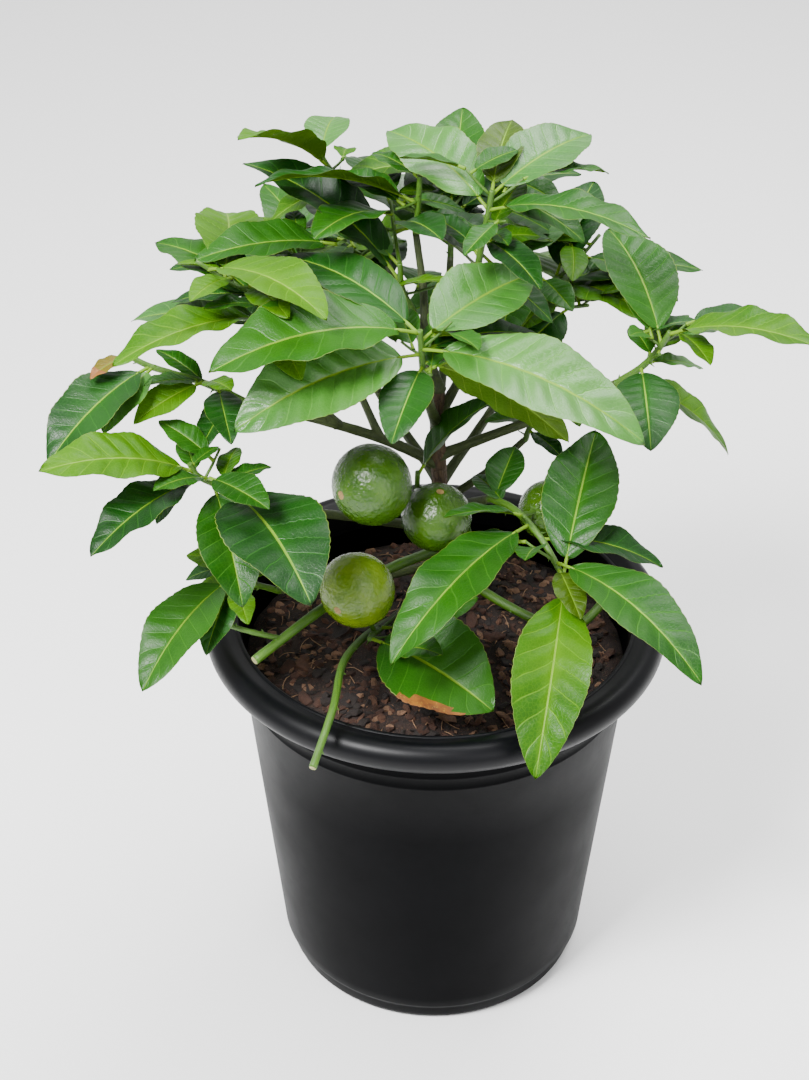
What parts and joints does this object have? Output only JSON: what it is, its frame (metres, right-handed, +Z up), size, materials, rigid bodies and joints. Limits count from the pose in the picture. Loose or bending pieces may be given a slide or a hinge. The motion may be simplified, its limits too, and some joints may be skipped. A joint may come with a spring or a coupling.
{
  "type": "potted lime tree",
  "caption": "Young rangpur lime tree with a slim trunk, spreading boughs, large glossy leaves and green limes, planted in a round nursery pot.",
  "frame": {"origin": "middle of the pot's flat underside", "axes": "+Z up along the trunk, -Y towards the side of the plant that carries the limes, +X to the right as that side is seen"},
  "size_m": [0.3733, 0.3147, 0.4845],
  "materials": {
    "pot": "matte black moulded nursery plastic with a bluish sheen on the rolled rim",
    "soil": "dark red-brown bark and coco chip potting mix with fibres",
    "bark": "smooth young bark, grey-brown with lengthwise furrows and olive streaks",
    "green_bark": "smooth green bark with pale buds and brown specks",
    "leaf": "leathery leaf, glossy deep green above with a yellow-green midrib, paler olive below"
  },
  "bodies": {
    "root": {"bough_back": "bark", "bough_back_left": "bark", "bough_back_right": "bark", "bough_far_left": "bark", "bough_front": "bark", "bough_left": "bark", "bough_left_back": "bark", "bough_low_front": "bark", "bough_low_left": "bark", "bough_low_right": "bark", "bough_mid_right": "bark", "bough_middle": "bark", "bough_right": "bark", "bough_rim_left": "bark", "bough_top": "bark", "bough_top_left": "bark", "bough_top_right": "bark", "cut_shoot_front": "green_bark", "cut_shoot_left": "green_bark", "cut_shoot_right": "green_bark", "cut_shoot_thin": "green_bark", "foliage_back_left": "leaf", "foliage_back_right": "leaf", "foliage_back_top": "leaf", "foliage_crown_front": "leaf", "foliage_crown_middle": "leaf", "foliage_crown_top": "leaf", "foliage_far_left": "leaf", "foliage_fruit_pair": "leaf", "foliage_left": "leaf", "foliage_left_back": "leaf", "foliage_low_front": "leaf", "foliage_low_left": "leaf", "foliage_mid_right": "leaf", "foliage_right": "leaf", "foliage_right_front": "leaf", "foliage_rim_left": "leaf", "foliage_top_left": "leaf", "foliage_top_right": "leaf", "pot": "pot", "soil": "soil", "trunk": "bark"}
  },
  "joints": []
}
